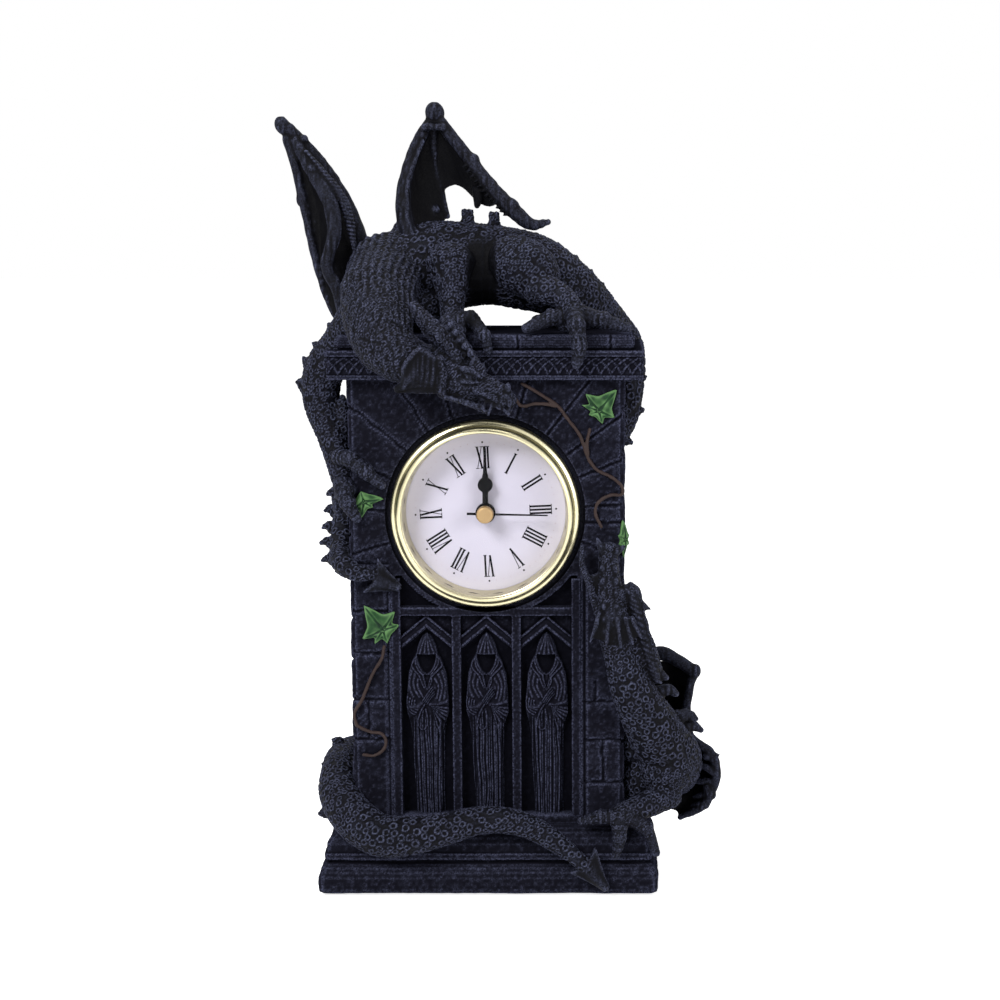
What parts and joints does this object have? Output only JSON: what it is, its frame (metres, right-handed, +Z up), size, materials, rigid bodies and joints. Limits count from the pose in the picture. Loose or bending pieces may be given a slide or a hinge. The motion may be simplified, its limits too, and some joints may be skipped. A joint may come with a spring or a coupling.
{
  "type": "mantel clock",
  "caption": "Resin mantel clock: a stone tower with hooded figures in niches, two dragons climbing it, ivy, and a round quartz clock insert.",
  "frame": {"origin": "centre of the felt's underside, where the clock rests", "axes": "+X to the right seen from the front, +Y to the back, +Z up; the dial faces -Y"},
  "size_m": [0.1316, 0.0718, 0.2318],
  "materials": {
    "tower_stone": "dark cast resin stone, dry-brushed blue grey",
    "dragon_stone": "dark cast resin, scales dry-brushed blue grey",
    "leaf_green": "painted green with lighter veins",
    "vine_brown": "painted brown",
    "felt": "black felt",
    "bezel_brass": "polished pale brass",
    "lens_clear": "clear",
    "dial_paper": "printed, satin",
    "black_plastic": "moulded",
    "gasket_rubber": "ribbed",
    "white_plastic": "moulded",
    "steel": "plain",
    "copper": "enamelled copper winding",
    "board_green": "circuit board",
    "hand_black": "satin black",
    "hand_gold": "satin gold"
  },
  "bodies": {
    "clock_body": {"stone_tower": "tower_stone", "base_felt": "felt", "upper_dragon": "dragon_stone", "upper_dragon_left_wing": "dragon_stone", "upper_dragon_right_wing": "dragon_stone", "upper_dragon_tail": "dragon_stone", "lower_dragon": "dragon_stone", "lower_dragon_wing": "dragon_stone", "lower_dragon_tail": "dragon_stone", "ivy_leaf_top": "leaf_green", "ivy_leaf_low": "leaf_green", "ivy_leaf_hand": "leaf_green", "ivy_leaf_edge": "leaf_green", "ivy_vine_right": "vine_brown", "ivy_vine_left": "vine_brown"},
    "insert": {"clock_bezel": "bezel_brass", "clock_lens": "lens_clear", "dial_ring": "bezel_brass", "clock_dial": "dial_paper", "insert_cup": "black_plastic", "fit_gasket": "gasket_rubber", "movement_plate": "white_plastic", "movement_bridge": "white_plastic", "stator": "steel", "coil": "copper", "circuit_board": "board_green", "quartz_crystal": "steel", "battery_clip": "steel"},
    "seconds": {"second_wheel": "white_plastic", "second_hand": "hand_gold"},
    "minutes": {"cannon_pinion": "steel", "minute_hand": "hand_black"},
    "hours": {"hour_wheel": "white_plastic", "hour_hand": "hand_black"},
    "centre": {"centre_wheel": "steel"},
    "third": {"third_wheel": "white_plastic"},
    "fifth": {"fifth_wheel": "white_plastic"},
    "stepping_rotor": {"rotor": "steel"},
    "motion": {"motion_wheel": "white_plastic"},
    "knob": {"setting_knob": "black_plastic"},
    "cell": {"battery": "steel"}
  },
  "joints": [
    {"name": "insert_pull", "type": "slide", "parent": "clock_body", "child": "insert", "axis": [0, -1, 0], "range_m": [0, 0.026]},
    {"name": "second_turn", "type": "hinge", "parent": "insert", "child": "seconds", "pos_m": [-0.0004, -0.012, 0.1131], "axis": [0, -1, 0], "continuous": true},
    {"name": "minute_turn", "type": "hinge", "parent": "insert", "child": "minutes", "pos_m": [-0.0004, -0.012, 0.1131], "axis": [0, -1, 0], "continuous": true},
    {"name": "hour_turn", "type": "hinge", "parent": "insert", "child": "hours", "pos_m": [-0.0004, -0.012, 0.1131], "axis": [0, -1, 0], "continuous": true},
    {"name": "centre_turn", "type": "hinge", "parent": "insert", "child": "centre", "pos_m": [-0.0004, -0.012, 0.1131], "axis": [0, -1, 0], "continuous": true},
    {"name": "third_turn", "type": "hinge", "parent": "insert", "child": "third", "pos_m": [-0.00109, -0.012, 0.12102], "axis": [0, -1, 0], "continuous": true},
    {"name": "fifth_turn", "type": "hinge", "parent": "insert", "child": "fifth", "pos_m": [-0.00745, -0.012, 0.11053], "axis": [0, -1, 0], "continuous": true},
    {"name": "rotor_turn", "type": "hinge", "parent": "insert", "child": "stepping_rotor", "pos_m": [-0.01168, -0.012, 0.109], "axis": [0, -1, 0], "continuous": true},
    {"name": "motion_turn", "type": "hinge", "parent": "insert", "child": "motion", "pos_m": [0.00752, -0.012, 0.11598], "axis": [0, -1, 0], "continuous": true},
    {"name": "knob_turn", "type": "hinge", "parent": "insert", "child": "knob", "pos_m": [0.01543, -0.012, 0.11886], "axis": [0, -1, 0], "continuous": true},
    {"name": "battery_slide", "type": "slide", "parent": "insert", "child": "cell", "axis": [0, 1, 0], "range_m": [0, 0.012]}
  ],
  "couplings": [
    {"joint": "hour_turn", "follows": "minute_turn", "ratio": 0.083333},
    {"joint": "motion_turn", "follows": "minute_turn", "ratio": -0.33333},
    {"joint": "knob_turn", "follows": "minute_turn", "ratio": 1},
    {"joint": "centre_turn", "follows": "second_turn", "ratio": 0.016667},
    {"joint": "third_turn", "follows": "second_turn", "ratio": -0.13333},
    {"joint": "fifth_turn", "follows": "second_turn", "ratio": -5},
    {"joint": "rotor_turn", "follows": "second_turn", "ratio": 30}
  ]
}
